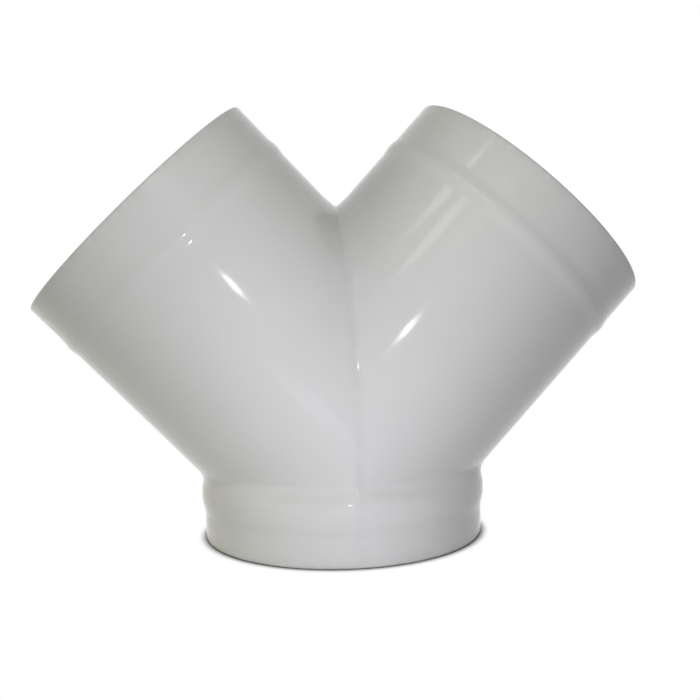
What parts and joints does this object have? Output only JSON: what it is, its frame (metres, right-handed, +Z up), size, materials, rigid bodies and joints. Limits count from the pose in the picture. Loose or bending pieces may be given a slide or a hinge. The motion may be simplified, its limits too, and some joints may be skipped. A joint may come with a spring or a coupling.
{
  "type": "duct y branch",
  "caption": "Round ventilation duct Y branch in white plastic: a short inlet collar splits into equal leaning outlets, with plain spigots, stop beads and a shoulder.",
  "frame": {"origin": "centre of the inlet collar's bottom rim", "axes": "+Z up along the inlet's axis, from the inlet towards the outlets; X runs from the left outlet to the right one; Y is square to the plane of the three axes"},
  "size_m": [0.213, 0.1024, 0.1521],
  "materials": {
    "white_plastic": "gloss"
  },
  "bodies": {
    "root": {"y_branch": "white_plastic"}
  },
  "joints": []
}
